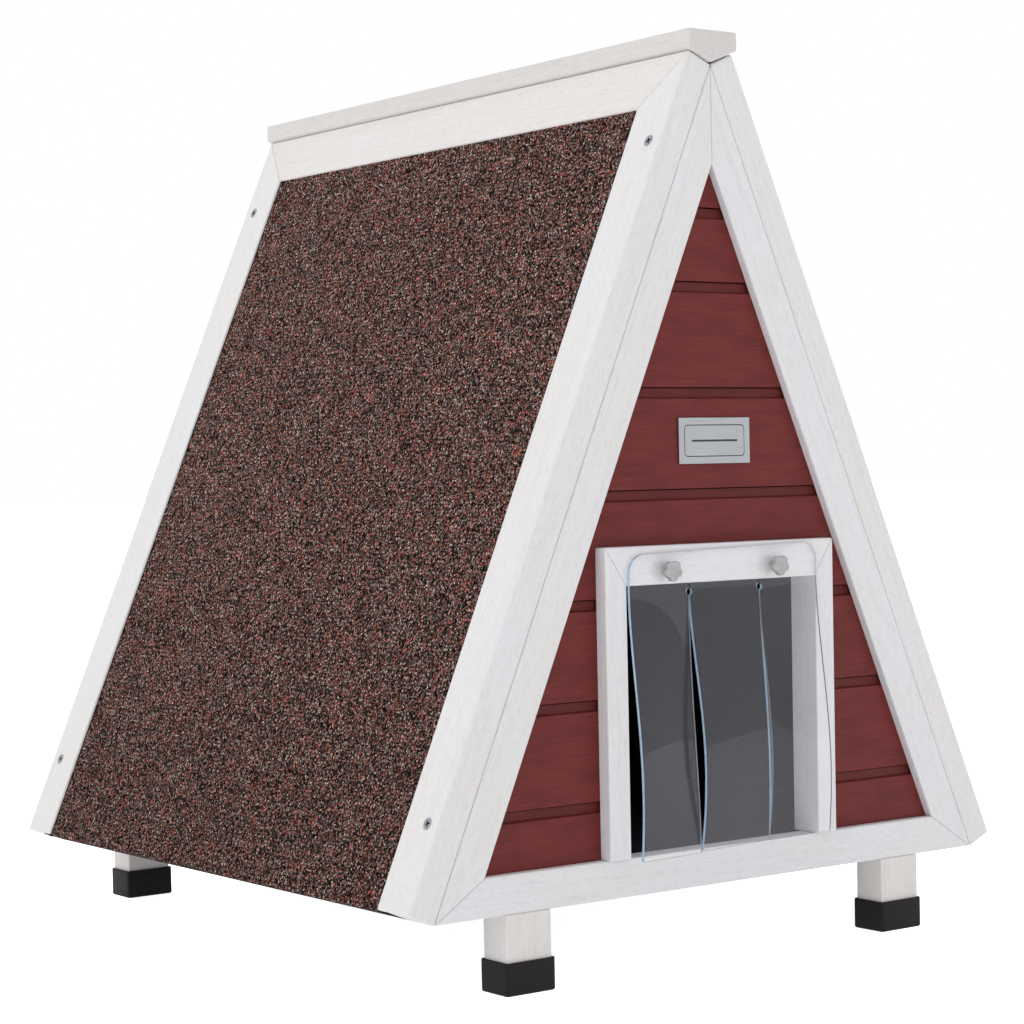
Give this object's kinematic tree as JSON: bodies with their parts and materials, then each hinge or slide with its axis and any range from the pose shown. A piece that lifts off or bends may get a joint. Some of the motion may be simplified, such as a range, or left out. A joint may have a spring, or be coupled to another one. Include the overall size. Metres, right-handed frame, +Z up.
{
  "type": "rabbit hutch",
  "caption": "A-frame wooden rabbit house with felted roof panels, boarded gables, a clear strip-flap doorway and short capped legs.",
  "frame": {"origin": "on the surface the house stands on, under the middle of its bounding box", "axes": "+Z up to the ridge; -Y out of the doorway at the front, with the ridge along Y; +X to the right seen from the front"},
  "size_m": [0.5092, 0.5478, 0.6179],
  "materials": {
    "white_washed_wood": "fir with a thin white wash, the grain just showing",
    "red_painted_wood": "dark red satin stain on shiplap boards",
    "dark_stained_plywood": "near-black matt stain on plywood",
    "mineral_roof_felt": "bitumen roofing felt with brown, red and grey mineral granules",
    "clear_soft_sheet": "clear flexible PVC sheet, cut edges slightly blue",
    "clear_plastic": "moulded clear plastic, slightly milky",
    "brushed_nameplate": "satin silver plate with a thin engraved border",
    "zinc_plated_steel": "bright zinc-plated cross-head screw",
    "black_plastic": "moulded black plastic, fine satin texture"
  },
  "bodies": {
    "house": {"gable_front_bottom_rail": "white_washed_wood", "gable_front_left_stile": "white_washed_wood", "gable_front_right_stile": "white_washed_wood", "gable_rear_bottom_rail": "white_washed_wood", "gable_rear_left_stile": "white_washed_wood", "gable_rear_right_stile": "white_washed_wood", "front_board_1_left": "red_painted_wood", "front_board_1_right": "red_painted_wood", "front_board_2_left": "red_painted_wood", "front_board_2_right": "red_painted_wood", "front_board_3_left": "red_painted_wood", "front_board_3_right": "red_painted_wood", "front_board_4": "red_painted_wood", "front_board_5": "red_painted_wood", "front_board_6": "red_painted_wood", "front_board_7": "red_painted_wood", "front_board_8": "red_painted_wood", "rear_board_1": "red_painted_wood", "rear_board_2": "red_painted_wood", "rear_board_3": "red_painted_wood", "rear_board_4": "red_painted_wood", "door_frame_head": "white_washed_wood", "door_frame_left": "white_washed_wood", "door_frame_right": "white_washed_wood", "flap_band": "clear_soft_sheet", "nameplate": "brushed_nameplate", "floor_panel": "dark_stained_plywood", "roof_left_top_rail": "white_washed_wood", "roof_left_front_stile": "white_washed_wood", "roof_left_rear_stile": "white_washed_wood", "roof_left_deck": "dark_stained_plywood", "roof_left_felt": "mineral_roof_felt", "roof_right_top_rail": "white_washed_wood", "roof_right_front_stile": "white_washed_wood", "roof_right_rear_stile": "white_washed_wood", "roof_right_deck": "dark_stained_plywood", "roof_right_felt": "mineral_roof_felt", "ridge_cap": "white_washed_wood", "roof_screw_left_front_top": "zinc_plated_steel", "roof_screw_left_front_bottom": "zinc_plated_steel", "roof_screw_left_rear_top": "zinc_plated_steel", "roof_screw_left_rear_bottom": "zinc_plated_steel", "roof_screw_right_front_top": "zinc_plated_steel", "roof_screw_right_front_bottom": "zinc_plated_steel", "roof_screw_right_rear_top": "zinc_plated_steel", "roof_screw_right_rear_bottom": "zinc_plated_steel", "leg_front_left": "white_washed_wood", "leg_front_right": "white_washed_wood", "leg_rear_left": "white_washed_wood", "leg_rear_right": "white_washed_wood", "leg_cap_front_left": "black_plastic", "leg_cap_front_right": "black_plastic", "leg_cap_rear_left": "black_plastic", "leg_cap_rear_right": "black_plastic"},
    "flap_left": {"flap_strip_left": "clear_soft_sheet"},
    "flap_middle": {"flap_strip_middle": "clear_soft_sheet"},
    "flap_right": {"flap_strip_right": "clear_soft_sheet"},
    "thumbscrew_left": {"flap_thumbscrew_left": "clear_plastic"},
    "thumbscrew_right": {"flap_thumbscrew_right": "clear_plastic"}
  },
  "joints": [
    {"name": "flap_left_swing", "type": "hinge", "parent": "house", "child": "flap_left", "pos_m": [-0.05705, -0.2644, 0.2495], "axis": [1, 0, 0], "range_deg": [-80, 80]},
    {"name": "flap_middle_swing", "type": "hinge", "parent": "house", "child": "flap_middle", "pos_m": [-0.00075, -0.2644, 0.2495], "axis": [1, 0, 0], "range_deg": [-80, 80]},
    {"name": "flap_right_swing", "type": "hinge", "parent": "house", "child": "flap_right", "pos_m": [0.0563, -0.2644, 0.2495], "axis": [1, 0, 0], "range_deg": [-80, 80]},
    {"name": "thumbscrew_left_turn", "type": "hinge", "parent": "house", "child": "thumbscrew_left", "pos_m": [-0.0507, -0.2644, 0.2637], "axis": [0, -1, 0], "continuous": true},
    {"name": "thumbscrew_right_turn", "type": "hinge", "parent": "house", "child": "thumbscrew_right", "pos_m": [0.0433, -0.2644, 0.2637], "axis": [0, -1, 0], "continuous": true}
  ]
}
